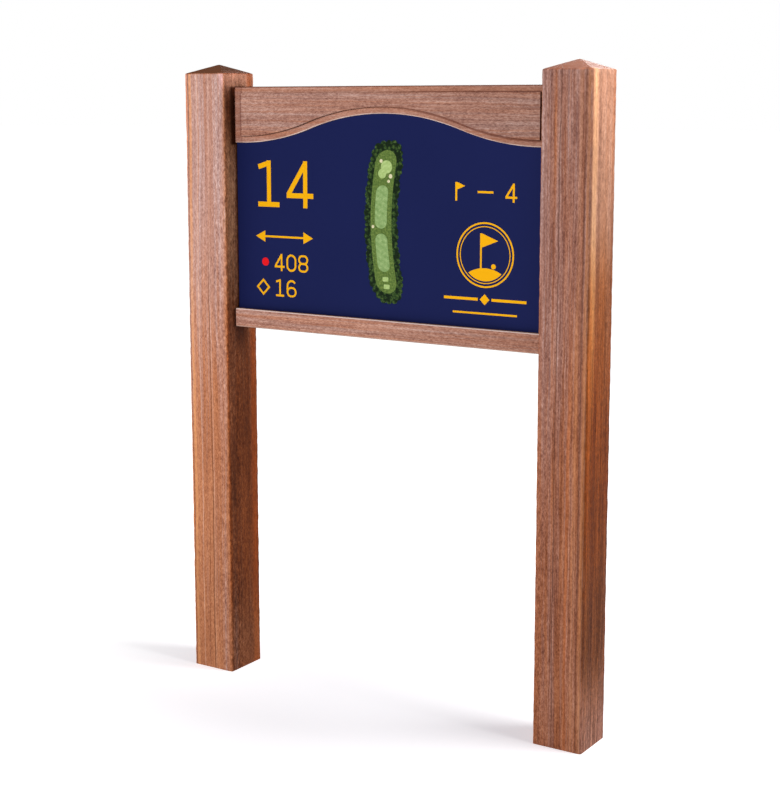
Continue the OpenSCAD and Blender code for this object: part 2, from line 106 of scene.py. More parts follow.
class Shader:
    """A node tree with short calls for the nodes that the materials use."""

    def __init__(self, name):
        self.mat = bpy.data.materials.new(name)
        self.mat.use_nodes = True
        self.tree = self.mat.node_tree
        self.tree.nodes.clear()
        self.out = self.tree.nodes.new("ShaderNodeOutputMaterial")
        self.bsdf = self.tree.nodes.new("ShaderNodeBsdfPrincipled")
        self.tree.links.new(self.bsdf.outputs["BSDF"], self.out.inputs["Surface"])

    def node(self, kind, **props):
        """A new node with these properties."""
        n = self.tree.nodes.new(kind)
        for key, value in props.items():
            setattr(n, key, value)
        return n

    def put(self, socket, value):
        """Links a socket to another one or sets its value. None leaves it alone."""
        if isinstance(value, bpy.types.NodeSocket):
            self.tree.links.new(value, socket)
        elif value is not None:
            socket.default_value = value

    def fill(self, sockets, values):
        """Puts the values on the first sockets, in their order."""
        for socket, value in zip(sockets, values):
            self.put(socket, value)

    def math(self, op, a, b=None, c=None, clamp=False):
        n = self.node("ShaderNodeMath", operation=op, use_clamp=clamp)
        self.fill(n.inputs, (a, b, c))
        return n.outputs[0]

    def times(self, first, *others):
        """The product of the values."""
        for value in others:
            first = self.math("MULTIPLY", first, value)
        return first

    def scaled(self, v, factor, offset):
        """v times factor plus offset."""
        return self.math("MULTIPLY_ADD", v, factor, offset)

    def less(self, a, b):
        return self.math("SUBTRACT", a, b)

    def rest(self, v):
        """What v leaves of 1."""
        return self.less(1.0, v)

    def most(self, first, *others):
        """The largest of the values."""
        for value in others:
            first = self.math("MAXIMUM", first, value)
        return first

    def under(self, v, limit):
        """1 where v is under the limit, 0 elsewhere."""
        return self.math("LESS_THAN", v, limit)

    def vec(self, op, a, b=None):
        n = self.node("ShaderNodeVectorMath", operation=op)
        self.fill(n.inputs, (a, b))
        return n.outputs["Value" if op in ("LENGTH", "DOT_PRODUCT", "DISTANCE") else "Vector"]

    def combine(self, x, y, z):
        n = self.node("ShaderNodeCombineXYZ")
        self.fill(n.inputs, (x, y, z))
        return n.outputs[0]

    def split(self, v):
        n = self.node("ShaderNodeSeparateXYZ")
        self.put(n.inputs[0], v)
        return n.outputs[0], n.outputs[1], n.outputs[2]

    def noise(self, v, scale, detail=2.0, rough=0.55, colour=False):
        """Noise with its own scale, in cells per metre, along each axis."""
        n = self.node("ShaderNodeTexNoise")
        self.put(n.inputs["Vector"], self.vec("MULTIPLY", v, scale))
        n.inputs["Scale"].default_value = 1.0
        n.inputs["Detail"].default_value = detail
        n.inputs["Roughness"].default_value = rough
        return n.outputs["Color" if colour else "Fac"]

    def drift(self, v, scale, reach):
        """A wandering shift of up to about half of reach along the first two axes."""
        turn = self.vec("SUBTRACT", self.noise(v, scale, 2, colour=True), (0.5, 0.5, 0.5))
        return self.vec("MULTIPLY", turn, (reach, reach, 0))

    def cells(self, v, scale):
        """Distance from the nearest of the points scattered with this many cells per metre."""
        n = self.node("ShaderNodeTexVoronoi")
        self.put(n.inputs["Vector"], v)
        n.inputs["Scale"].default_value = scale
        return n.outputs["Distance"]

    def ramp(self, fac, stops):
        """A colour for each value. stops is a list of (value, colour)."""
        n = self.node("ShaderNodeValToRGB")
        e = n.color_ramp.elements
        while len(e) < len(stops):
            e.new(0.5)
        for item, (at, colour) in zip(e, stops):
            item.position = at
            item.color = colour
        self.put(n.inputs[0], fac)
        return n.outputs[0]

    def mix(self, fac, a, b, how="MIX"):
        """Colour a turned into b by fac, or multiplied with it by fac."""
        n = self.node("ShaderNodeMix", data_type="RGBA", blend_type=how)
        n.clamp_factor = True
        self.put(n.inputs[0], fac)
        self.put(n.inputs[6], a)
        self.put(n.inputs[7], b)
        return n.outputs[2]

    def step(self, v, low, high):
        """0 below low, 1 above high, smooth between."""
        n = self.node("ShaderNodeMapRange", interpolation_type="SMOOTHSTEP")
        self.fill(n.inputs, (v, low, high, 0.0, 1.0))
        return n.outputs[0]

    def between(self, v, low, high, soft):
        """1 between low and high, 0 outside, over edges that are twice soft wide."""
        above = self.step(v, low - soft, low + soft)
        return self.times(above, self.rest(self.step(v, high - soft, high + soft)))

    def remap(self, v, low, high, to_low, to_high):
        """to_low up to low, to_high from high on, and a straight line between."""
        n = self.node("ShaderNodeMapRange")
        self.fill(n.inputs, (v, low, high, to_low, to_high))
        return n.outputs[0]

    def turned_to(self, facing, way, low=0.3, high=0.8):
        """1 on faces that look the given way, 0 on those that don't."""
        return self.step(self.vec("DOT_PRODUCT", facing, way), low, high)

    def place(self):
        """Where a point lies on its object."""
        return self.node("ShaderNodeTexCoord").outputs["Object"]

    def facing(self):
        """The way that the surface looks."""
        return self.node("ShaderNodeNewGeometry").outputs["Normal"]

    def bump(self, height, distance, strength):
        n = self.node("ShaderNodeBump")
        n.inputs["Strength"].default_value = strength
        n.inputs["Distance"].default_value = distance
        self.put(n.inputs["Height"], height)
        return n.outputs[0]

    def finish(self, colour, rough, normal=None, metal=0.0, specular=0.5):
        """Sets the surface and returns the material."""
        self.put(self.bsdf.inputs["Base Color"], colour)
        self.put(self.bsdf.inputs["Roughness"], rough)
        self.bsdf.inputs["Metallic"].default_value = metal
        self.bsdf.inputs["Specular IOR Level"].default_value = specular
        if normal is not None:
            self.put(self.bsdf.inputs["Normal"], normal)
        return self.mat


# The timber's colours by tone, warm and mauve, and the tints of its streaks
WARM = [(0.28, srgb(80, 37, 19)), (0.40, srgb(126, 65, 37)), (0.50, srgb(166, 96, 61)),
        (0.60, srgb(196, 123, 82)), (0.72, srgb(220, 154, 112))]
MAUVE = [(0.28, srgb(82, 48, 40)), (0.40, srgb(128, 85, 75)), (0.50, srgb(166, 121, 106)),
         (0.60, srgb(198, 157, 143)), (0.72, srgb(226, 194, 184))]
DARK = srgb(70, 34, 22)
# A painted highlight on the right post's front-outer arris
GOLDEN_GLINT = srgb(255, 198, 148)
RUST = srgb(206, 108, 54)
AMBER = srgb(204, 130, 78)
FAWN = srgb(232, 180, 150)
# A painted light for the left post's inner face above the top rail
LIT_PINK = srgb(232, 168, 156)
ORANGE = srgb(226, 138, 74)
UMBER = srgb(84, 42, 26)
# A painted light for the right post's top
LIT_CREAM = srgb(244, 216, 204)
# Arrises paled by wear and a painted highlight
RUBBED_AND_LIT = srgb(226, 150, 96)
# The patterns beside the growth lines: noise scales across and along the fibres, detail and roughness
FLECK = ((430, 430, 190), 2, 0.7)
MOTTLE = ((150, 150, 75), 2, 0.6)
CLOUD = ((22, 22, 4), 2, 0.5)
# Shares of bands, lines, fleck, mottle and cloud in curly grain; in straight grain the lines' share varies
CURLY_SHARES = (0.12, 0.14, 0.38, 0.31, 0.10)
# The share of its patterns that end grain loses. In full they would speckle the posts' tops
END_CALM = 0.65
# Low, so that a pale surrounding doesn't veil the dark faces
TIMBER_SPECULAR = 0.04


def column(s, x, y, z, cx, cy, rx, ry, z0=0, z1=0):
    """1 in the middle of an upright column of the timber, 0 outside it. z0 and z1 bound its height."""
    off_x = s.math("DIVIDE", s.less(x, cx), rx)
    off_y = s.math("DIVIDE", s.less(y, cy), ry)
    near = s.rest(s.step(s.vec("LENGTH", s.combine(off_x, off_y, 0.0)), 0.25, 1.0))
    if (z0, z1) != (0, 0):
        near = s.times(near, s.between(z, z0, z1, min(0.12, (z1 - z0) / 2)))
    return near


def painted_shade_and_glint(s, colour, tone, place, facing, post_x, worn):
    """Painted shade on a post's outer face low down and on its inner face, which are darker and redder, and its
    arrises, which are paler by wear and a painted highlight.
    """
    x, y, z = s.split(place)
    outward = s.vec("DOT_PRODUCT", facing, (math.copysign(1, post_x), 0, 0))
    # Painted shade: the outer face low down and the inner face are darker and redder
    shaded_low_outer = s.times(s.step(outward, 0.3, 0.8), s.rest(s.step(z, 0.55, 0.95)))
    shaded_inner_face = s.rest(s.step(outward, -0.8, -0.3))
    shade_tint = s.mix(1.0, s.remap(tone, 0.36, 0.64, 0.50, 1.50), (1.0, 0.77, 0.52, 1), "MULTIPLY")
    colour = s.mix(s.most(shaded_low_outer, shaded_inner_face), colour, s.mix(1.0, colour, shade_tint, "MULTIPLY"))
    ax = s.math("ABSOLUTE", s.less(x, post_x))
    ay = s.math("ABSOLUTE", y)
    # The arrises' pale tint is wear and a painted highlight together
    arris_start = s.scaled(s.noise(place, (70, 70, 34), 2), 0.007, 0.0405)
    arris = s.step(s.math("MINIMUM", ax, ay), arris_start, s.math("ADD", arris_start, 0.0030))
    return s.mix(s.times(arris, worn), colour, RUBBED_AND_LIT)


def timber(name, grain, seed, pith, gain, mauve=(0.25, 0.25), lined=0.60, wavy=0.0012, streaks=(), curls=(),
           post=None, end_dark=0.55, sides=(), contrast=1.0):
    """Straight-grained reddish hardwood.

    grain is the axis that the fibres follow, seed a place in the pattern, and pith the centre of the growth rings
    across the grain. gain multiplies the colour. mauve is the share of the mauve colours, and what a post's upper
    half has more of it. lined is the strength of the growth lines and wavy how far they shiver. streaks are tinted
    columns, some of them painted shade and some painted light, and curls columns of curly grain. post is a post's x
    and how much its arrises are paled by wear and a painted highlight; it also brings painted shade on the post's
    faces. end_dark is how dark end grain is, sides lists what tints single faces or edges, many of them painted
    shade and highlight, and contrast spreads the tones.
    """
    s = Shader(name)
    place, facing = s.place(), s.facing()
    x, y, z = s.split(place)
    along_grain = {"z": (x, y, z), "x": (y, z, x)}[grain]
    p = s.vec("ADD", s.combine(*along_grain), seed)
    wander, ripple = s.drift(p, (6, 6, 2.0), 0.010), s.drift(p, (26, 26, 20), 0.0030)
    q = s.vec("ADD", s.vec("ADD", p, wander), ripple)
    qa, qb, qc = s.split(q)
    centre = (pith[0] + seed[0], pith[1] + seed[1], 0)
    ring = s.vec("DISTANCE", s.combine(qa, qb, 0.0), centre)
    shiver = s.times(s.less(s.noise(q, (130, 130, 75), 2, 0.6), 0.5), wavy)
    line = s.combine(s.math("ADD", ring, shiver), 0.0, qc)
    bands = s.noise(line, (110, 0, 0.8), 3, 0.6)
    lines = s.noise(line, (380, 0, 6), 2, 0.65)
    fleck, mottle, cloud = (s.noise(q, *pattern) for pattern in (FLECK, MOTTLE, CLOUD))
    end = s.step(s.math("ABSOLUTE", s.vec("DOT_PRODUCT", facing, FIBRES[grain])), 0.80, 0.92)
    calm = s.scaled(end, -END_CALM, 1.0)

    def blend_of(shares):
        """The patterns added by their shares, round a middle tone of 0.5."""
        tone = s.scaled(bands, shares[0], 0.5 - sum(shares) / 2)
        for part, share in zip((lines, fleck, mottle, cloud), shares[1:]):
            tone = s.scaled(part, share, tone)
        return tone

    tone = blend_of((0.20, lined, 0.31, 0.15, 0.10))
    if curls:
        curl = s.most(*(column(s, x, y, z, *spot) for spot in curls))
        tone = s.math("ADD", s.times(tone, s.rest(curl)), s.times(blend_of(CURLY_SHARES), curl))
    tone = s.scaled(s.less(tone, 0.5), s.times(calm, contrast), 0.5)
    hue = s.scaled(s.noise(line, (250, 2, 2.4), 2, 0.6), 1.8, mauve[0] - 0.9)
    hue = s.scaled(s.noise(line, (60, 2, 0.7), 1), 1.2, s.math("ADD", hue, -0.6))
    if post is not None:
        hue = s.scaled(s.step(z, 0.30, 1.0), mauve[1], hue)
    colour = s.mix(s.math("ADD", hue, 0.0, clamp=True), s.ramp(tone, WARM), s.ramp(tone, MAUVE))
    pores = s.times(s.step(s.noise(q, (820, 820, 120), 2, 0.5), 0.60, 0.70), calm)
    colour = s.mix(s.times(pores, 0.30 if post else 0.12), colour, DARK)
    qx, qy, _ = s.split(s.vec("SUBTRACT", q, seed))
    shade = s.remap(tone, 0.30, 0.70, 0.55, 1.45)
    for *spot, strength, tint in streaks:
        near = s.times(column(s, qx, qy, z, *spot), s.scaled(lines, 1.2, 0.4))
        share = s.math("MULTIPLY", near, strength, clamp=True)
        colour = s.mix(share, colour, s.mix(1.0, tint, shade, "MULTIPLY"))
    if post is not None:
        colour = painted_shade_and_glint(s, colour, tone, place, facing, *post)
    for side in sides:
        mask, tint, how = side(s, x, y, z, facing)
        colour = s.mix(mask, colour, tint, how)
    speck = s.noise(q, (900, 900, 10), 2, 0.7)
    end_colour = s.mix(speck, srgb(88, 46, 27), srgb(158, 95, 60))
    colour = s.mix(s.times(end, end_dark), colour, end_colour)
    colour = s.mix(1.0, colour, (*gain, 1), "MULTIPLY")
    height = s.math("ADD", s.times(fleck, 0.7), s.times(lines, 0.6))
    height = s.times(s.less(height, s.times(pores, 0.4)), calm)
    rough = s.scaled(fleck, 0.2, 0.5)
    return s.finish(colour, rough, s.bump(height, 0.0014, 0.7), specular=TIMBER_SPECULAR)


def above_ogee(s, x, z):
    """Height of a point over the ogee line, as a shader value."""
    def drop(run):
        """Height of an arc of the ogee's radius over its own centre, at a distance run from its crest."""
        return s.math("SQRT", s.most(s.less(OGEE_R ** 2, s.times(run, run)), 0.0))
    ax = s.math("ABSOLUTE", x)
    crown = s.math("ADD", drop(ax), RAIL_LOW + OGEE_RISE - OGEE_R)
    foot = s.less(RAIL_LOW + OGEE_R, drop(s.most(s.less(OGEE_SPAN, ax), 0.0)))
    inside = s.under(ax, OGEE_SPAN / 2)
    return s.less(z, s.math("ADD", s.times(crown, inside), s.times(foot, s.rest(inside))))


# Heights that leave a tint open downwards or upwards
BELOW, ABOVE = -1.0, 2.0


def tinted(low, high, soft, tint, way=None, turn=(0.3, 0.8)):
    """A multiplied tint between two heights, on the faces that look one way or on all of them."""
    def side(s, x, y, z, facing):
        mask = s.between(z, low, high, soft)
        if way is not None:
            mask = s.times(s.turned_to(facing, way, *turn), mask)
        return mask, (*tint, 1), "MULTIPLY"
    return side


# The left post's inner face is redder under the bottom rail and paler at its foot, a painted reflection of the
# floor, and its top is dark, a painted shade
INNER_GLOW = tinted(0.14, 0.72, 0.08, (1.02, 0.88, 0.78), RIGHTWARD)
# Painted reflection of the floor at the foot
INNER_FOOT = tinted(BELOW, 0.12, 0.08, (1.24, 1.40, 1.80), RIGHTWARD)
# Painted shade on the top
CAP_SHADE = tinted(SHOULDER - 0.0015, ABOVE, 0.0013, (0.88, 0.62, 0.44))
# The right post's outer face is warm in the middle, mauve at its foot, a painted reflection of the floor, and
# redder at its top; so is its top's front, where that is a painted shade
OUTER_GLOW = tinted(0.30, 0.90, 0.12, (0.97, 0.78, 0.54), RIGHTWARD)
# Painted reflection of the floor at the foot
OUTER_FOOT = tinted(BELOW, 0.11, 0.09, (1.12, 1.20, 1.70), RIGHTWARD)
OUTER_TOP = tinted(0.95, ABOVE, 0.07, (1.0, 0.91, 0.80), RIGHTWARD, (0.5, 0.8))
# Painted shade on the top's front slope
CAP_FRONT = tinted(SHOULDER - 0.0015, ABOVE, 0.0013, (0.97, 0.82, 0.73), FORWARD, (0.06, 0.16))


def corner_shade(s, x, y, z, facing):
    """The left post's inner face is nearly black in the corners with the rails and the sheet."""
    rail = s.times(s.step(y, -0.0350, -0.0215), s.between(z, RAIL_LOW - 0.004, RAIL_TOP, 0.003))
    low_rail = s.times(s.step(y, -0.0320, -0.0215), s.between(z, BOTTOM_LOW, BOTTOM_TOP, 0.003))
    sheet = s.times(s.step(y, -0.0150, -0.0090), s.between(z, BOTTOM_TOP, RAIL_LOW, 0.003))
    near = s.most(rail, s.times(low_rail, 0.8), s.times(sheet, 0.9))
    return s.times(s.turned_to(facing, RIGHTWARD), near), (0.14, 0.07, 0.04, 1), "MULTIPLY"


def sunk_border(s, x, y, z, facing):
    """The border round the raised field is redder than the field."""
    sunk = s.times(s.step(y, -0.0178, -0.0162), s.under(y, 0.0))
    return s.times(sunk, s.turned_to(facing, FORWARD, 0.3, 0.7), 0.24), srgb(190, 118, 84), "MIX"


def end_strip_shade(s, x, y, z, facing):
    """Painted shade on the sunk strips at the rail's ends, dark beside the posts and at the field, more so on the
    left.
    """
    ax = s.math("ABSOLUTE", x)
    wall = s.times(s.step(ax, HALF_GAP - 0.0029, HALF_GAP - 0.0005), 0.55)
    line = s.times(s.between(ax, FIELD_X - 0.0004, FIELD_X + 0.0014, 0.0004), 0.60)
    field = s.between(z, RAIL_LOW + BORDER_W, FIELD_TOP, 0.0015)
    left_line = s.times(s.between(ax, FIELD_X - 0.0034, FIELD_X + 0.0004, 0.0008), 0.55, field)
    left_strip = s.times(s.step(ax, FIELD_X, FIELD_X + 0.0010), 0.30)
    left_marks = s.times(s.most(left_line, left_strip), s.under(x, 0.0))
    return s.times(s.most(wall, line, left_marks), s.under(y, 0.0)), srgb(92, 34, 22), "MIX"


def field_edge_shadow(s, x, y, z, facing):
    """Painted shadow along the field's upper and lower edges, wider and darker to the right."""
    h = above_ogee(s, x, z)
    up = s.between(z, FIELD_TOP - 0.0004, FIELD_TOP + 0.0016, 0.0006)
    low = s.between(h, BORDER_W - 0.0018, BORDER_W + 0.0010, 0.0006)
    right_side = s.step(x, -0.02, 0.10)
    wide = s.times(s.between(h, BORDER_W - 0.0036, BORDER_W + 0.0010, 0.0010), right_side)
    mask = s.times(s.most(up, low, wide), s.under(y, -0.010))
    return s.times(mask, s.remap(right_side, 0.0, 1.0, 0.20, 0.70)), srgb(104, 48, 32), "MIX"


def top_arris_shade(s, x, y, z, facing):
    """A dark line along the top rail's upper front arris, a painted shade where the arris faces up."""
    upper = s.step(z, RAIL_TOP - 0.0030, RAIL_TOP - 0.0012)
    return s.times(upper, s.under(y, 0.0), 0.6), srgb(84, 40, 30), "MIX"


def low_arris_glint(s, x, y, z, facing):
    """A pale line along the ogee's lower arris, a painted highlight."""
    line = s.times(s.rest(s.step(above_ogee(s, x, z), 0.0006, 0.0024)), s.under(y, -0.010))
    # How strong the painted highlight is, varying along the rail
    worn = s.noise(s.combine(x, 0.0, 0.0), (13, 1, 1), 2)
    return s.times(line, s.remap(worn, 0.38, 0.62, 0.42, 0.88)), srgb(244, 214, 200), "MIX"


def ledge(s, x, y, z, facing):
    """A pale line along the bottom rail's upper front arris, a painted highlight."""
    upper = s.step(z, BOTTOM_TOP - 0.0026, BOTTOM_TOP - 0.0010)
    return s.times(upper, s.rest(s.step(y, -0.0172, -0.0158)), 0.75), srgb(236, 208, 198), "MIX"


def ledge_shade(s, x, y, z, facing):
    """Painted shade on the ledge in front of the panel."""
    upper = s.step(z, BOTTOM_TOP - 0.0010, BOTTOM_TOP - 0.0004)
    return s.times(upper, s.between(y, -0.0158, -0.0060, 0.0008), 0.5), srgb(84, 48, 36), "MIX"


def lower_edge(s, x, y, z, facing):
    """A pale line along the bottom rail's lower front arris."""
    lower = s.rest(s.step(z, BOTTOM_LOW + 0.0015, BOTTOM_LOW + 0.0045))
    return s.times(lower, s.under(y, 0.0), 0.4), srgb(216, 176, 156), "MIX"


def each_way(scale):
    """The same noise scale for all three axes."""
    return (scale, scale, scale)


def navy_sheet():
    """The satin printed ground of the sign, with a little pale dust."""
    s = Shader("navy_print")
    p = s.place()
    broad = s.noise(p, each_way(5))
    fine = s.noise(p, each_way(1800))
    colour = s.mix(broad, srgb(23, 30, 76), srgb(27, 34, 83))
    dust = s.step(s.noise(p, each_way(420), 3, 0.7), 0.70, 0.78)
    colour = s.mix(s.times(dust, 0.05), colour, srgb(120, 125, 150))
    return s.finish(colour, s.scaled(broad, 0.08, 0.5), s.bump(fine, 0.00006, 0.25), specular=0.04)


def film(name, rgb, shade):
    """Applied film in one colour that varies slightly."""
    s = Shader(name)
    p = s.place()
    broad = s.noise(p, each_way(14))
    fine = s.noise(p, each_way(1600))
    colour = s.mix(broad, srgb(*rgb), srgb(*shade))
    return s.finish(colour, s.scaled(broad, 0.1, 0.40), s.bump(fine, 0.00005, 0.2), specular=0.06)


def printed_ground(name, base, dark, light, scale, crowns=0.0, stripes=None):
    """A printed patch of ground seen from above: mottled turf, tree crowns or mown bands."""
    s = Shader(name)
    p = s.place()
    x, y, z = s.split(p)
    flat = s.combine(x, z, 0.0)
    mottle = s.noise(flat, (scale, scale, 1), 4, 0.65)
    colour = s.ramp(mottle, [(0.30, srgb(*dark)), (0.52, srgb(*base)), (0.72, srgb(*light))])
    if crowns:
        spot = s.cells(s.vec("ADD", flat, s.drift(flat, (240, 240, 1), 0.004)), crowns)
        gap = s.step(spot, 0.42, 0.62)
        colour = s.mix(s.times(gap, 0.85), colour, srgb(12, 26, 14))
        lit = s.rest(s.step(spot, 0.05, 0.34))
        colour = s.mix(s.times(lit, 0.45), colour, srgb(*light))
    if stripes:
        pitch, turn = stripes
        run = s.math("ADD", s.times(z, math.cos(turn)), s.times(x, math.sin(turn)))
        wave = s.math("SINE", s.times(run, 2 * math.pi / pitch))
        colour = s.mix(s.times(s.step(wave, -0.3, 0.3), 0.22), colour, srgb(*light))
    fine = s.noise(p, each_way(1600))
    return s.finish(colour, 0.42, s.bump(fine, 0.00005, 0.2), specular=0.06)


def board():
    """The backing board's dark film face, with a fine mesh print and faint handling marks."""
    s = Shader("dark_board")
    p = s.place()
    x, y, z = s.split(p)
    one_way = s.math("PINGPONG", s.times(s.math("ADD", x, z), 1000), 1.4)
    other_way = s.math("PINGPONG", s.times(s.less(x, z), 1000), 1.4)
    weave = s.math("MINIMUM", one_way, other_way)
    broad = s.noise(p, each_way(9), 3)
    colour = s.mix(broad, srgb(46, 44, 43), srgb(62, 59, 56))
    mark = s.step(s.noise(p, (30, 30, 5), 3, 0.7), 0.56, 0.72)
    colour = s.mix(s.times(mark, 0.10), colour, srgb(92, 86, 80))
    return s.finish(colour, s.scaled(broad, 0.2, 0.48), s.bump(weave, 0.0002, 0.5), specular=0.35)


def rubber():
    """Matt black rubber."""
    s = Shader("black_rubber")
    fine = s.noise(s.place(), each_way(700), 3)
    colour = s.mix(fine, srgb(22, 22, 22), srgb(38, 37, 36))
    return s.finish(colour, 0.75, s.bump(fine, 0.0002, 0.4), specular=0.3)


def steel():
    """Brushed stainless steel."""
    s = Shader("stainless_steel")
    brush = s.noise(s.place(), (300, 2500, 300))
    colour = s.mix(brush, srgb(176, 178, 180), srgb(214, 215, 216))
    return s.finish(colour, s.scaled(brush, 0.2, 0.22), s.bump(brush, 0.00004, 0.3), metal=1.0)


def object_of(name, bm):
    """A new object with the mesh of bm."""
    mesh = bpy.data.meshes.new(name)
    bmesh.ops.recalc_face_normals(bm, faces=bm.faces)
    bm.to_mesh(mesh)
    bm.free()
    obj = bpy.data.objects.new(name, mesh)
    bpy.context.scene.collection.objects.link(obj)
    return obj


def smooth_over(obj, sharp):
    """Smooth shading, with edges sharper than this angle in degrees left hard."""
    obj.data.shade_smooth()
    obj.data.set_sharp_from_angle(angle=math.radians(sharp))


def coat(mesh, mat):
    """Makes mat the only material of a mesh."""
    mesh.materials.clear()
    mesh.materials.append(mat)


def join_rings(bm, rings):
    """Joins neighbouring rings of vertices with quads."""
    count = len(rings[0])
    for one, two in zip(rings, rings[1:]):
        for i in range(count):
            j = (i + 1) % count
            bm.faces.new((one[i], one[j], two[j], two[i]))


def close_ends(bm, rings):
    """Puts a face on the first and on the last of the rings."""
    bm.faces.new(list(reversed(rings[0])))
    bm.faces.new(rings[-1])


def box_into(bm, low, high):
    """Adds a closed box to bm."""
    made = bmesh.ops.create_cube(bm, size=1.0)["verts"]
    for v in made:
        v.co = Vector([low[i] + (v.co[i] + 0.5) * (high[i] - low[i]) for i in range(3)])


def span_box_into(bm, x0, x1, half_y, low, high):
    """Adds a box to bm between two places on X, in either order."""
    box_into(bm, (min(x0, x1), -half_y, low), (max(x0, x1), half_y, high))


def rod_into(bm, start, axis, radii, segments=32):
    """Adds a closed turned rod to bm. radii is a list of (distance along axis, radius)."""
    u = Vector((0, 0, 1)) if abs(axis.z) < 0.9 else Vector((1, 0, 0))
    u = (u - axis * u.dot(axis)).normalized()
    w = axis.cross(u)
    rings = []
    for at, r in radii:
        rings.append([bm.verts.new(start + axis * at + (u * math.cos(t) + w * math.sin(t)) * r)
                      for t in (2 * math.pi * i / segments for i in range(segments))])
    join_rings(bm, rings)
    close_ends(bm, rings)


def crack_into(bm, path, out, across, width, depth):
    """Adds a closed wedge to bm that cuts a drying check along path. out points out of the timber."""
    lift = 0.0012
    thin = 0.06
    rings = []
    for i, p in enumerate(path):
        t = i / (len(path) - 1)
        swell = max(0.0, math.sin(math.pi * t)) ** 0.6 * (0.75 + 0.25 * noise.noise(p * 60))
        half, deep = width * max(swell, thin) / 2, depth * max(swell, thin)
        wide = half * (1 + lift / deep)
        corners = (p + out * lift + across * wide, p + out * lift - across * wide, p - out * deep)
        rings.append([bm.verts.new(corner) for corner in corners])
    join_rings(bm, rings)
    close_ends(bm, rings)


def cut_by(obj, bm, operation="DIFFERENCE"):
    """Applies an exact boolean with the solids in bm."""
    cutter = object_of("cutter", bm)
    cutter_mesh = cutter.data
    mod = obj.modifiers.new("cut", "BOOLEAN")
    mod.operation = operation
    mod.solver = "EXACT"
    mod.object = cutter
    bpy.context.view_layer.update()
    result = bpy.data.meshes.new_from_object(obj.evaluated_get(bpy.context.evaluated_depsgraph_get()))
    obj.modifiers.clear()
    old = obj.data
    obj.data = result
    result.name = obj.name
    bpy.data.meshes.remove(old)
    bpy.data.objects.remove(cutter)
    bpy.data.meshes.remove(cutter_mesh)


def uneven(p, stretch, seed):
    """A depth from 0 to about 1 that wanders by the scales in stretch."""
    q = Vector((p.x * stretch[0], p.y * stretch[1], p.z * stretch[2])) + seed
    return 0.5 + 0.5 * (0.65 * noise.noise(q) + 0.35 * noise.noise(q * 2.7))


# How many rings a post has up its sides and up its weathered top, and points on each flat side and corner
POST_ROWS, CAP_ROWS = 360, 14
SIDE_POINTS, CORNER_POINTS = 16, 8
# Radius of the softened edge at a post's shoulder, and the tip worn off its point
SHOULDER_SOFT = 0.0011
TIP_WORN = 0.0004
# Depths of the unevenness of a post's faces, its worn arrises and its top, and what of the wear is left out
FACE_WEAR, ARRIS_WEAR, CAP_WEAR = 0.00030, 0.0032, 0.00030
ARRIS_SPARED = 0.32
# The corner radius before the wear
SKIN_ROUND = POST_ROUND * 0.7
# How far a drying check sways, and in how many steps it is drawn
CHECK_SWAY, CHECK_STEPS = 0.0022, 60
# Edges sharper than this angle in degrees stay hard
POST_SHARP, RAIL_SHARP = 30, 34


def post_profile():
    """Points round a square section with rounded corners, anticlockwise, centred."""
    pts = []
    half, r = POST_HALF, SKIN_ROUND
    for side in range(4):
        turn = Matrix.Rotation(side * math.pi / 2, 2)
        for i in range(SIDE_POINTS):
            pts.append(turn @ Vector((half, -half + r + (2 * half - 2 * r) * i / SIDE_POINTS)))
        for i in range(CORNER_POINTS):
            t = math.pi / 2 * i / CORNER_POINTS
            pts.append(turn @ Vector((half - r + r * math.cos(t), half - r + r * math.sin(t))))
    return pts


def post_skin(bm):
    """Adds a whole post with its four-way weathered top to bm, centred on Z."""
    profile = post_profile()
    slope = CAP_RISE / POST_HALF

    def top_of(p):
        return POST_LEN - slope * max(abs(p.x), abs(p.y))

    rings = []
    for k in range(POST_ROWS + 1):
        rings.append([bm.verts.new((p.x, p.y, (top_of(p) - SHOULDER_SOFT) * k / POST_ROWS)) for p in profile])
    for inset, drop in ((SHOULDER_SOFT * 0.30, SHOULDER_SOFT * 0.36), (SHOULDER_SOFT, 0.0)):
        s = 1 - inset / POST_HALF
        rings.append([bm.verts.new((p.x * s, p.y * s, top_of(p * s) - drop)) for p in profile])
    for k in range(1, CAP_ROWS):
        s = (1 - SHOULDER_SOFT / POST_HALF) * (1 - k / CAP_ROWS)
        rings.append([bm.verts.new((p.x * s, p.y * s, top_of(p * s))) for p in profile])
    join_rings(bm, rings)
    tip = bm.verts.new((0, 0, POST_LEN - TIP_WORN))
    last = rings[-1]
    for i in range(len(last)):
        bm.faces.new((last[i], last[(i + 1) % len(last)], tip))
    bm.faces.new(list(reversed(rings[0])))
    bm.normal_update()


def wear_post(bm, side, seed):
    """Pushes a post's skin in by its unevenness and its worn arrises, and moves it to its place."""
    shift = Vector((side * POST_X, 0, 0))
    arris_from = POST_HALF - POST_ROUND
    moved = []
    for v in bm.verts:
        ax, ay = abs(v.co.x), abs(v.co.y)
        on_wall = max(ax, ay) > 0.04
        arris = max(0.0, (min(ax, ay) - arris_from) / POST_ROUND) if on_wall else 0.0
        depth = FACE_WEAR * uneven(v.co, (55, 55, 7), seed)
        worn = max(0.0, uneven(v.co, (24, 24, 62), seed * 1.7) - ARRIS_SPARED)
        depth += ARRIS_WEAR * min(arris, 1.0) * worn
        if v.co.z > SHOULDER - 0.002:
            depth += CAP_WEAR * uneven(v.co, (140, 140, 140), seed * 2.3)
        inward = -v.normal
        if v.co.z < 0.001:
            inward = Vector((inward.x, inward.y, 0))
        moved.append(v.co + inward * depth + shift)
    for v, co in zip(bm.verts, moved):
        v.co = co


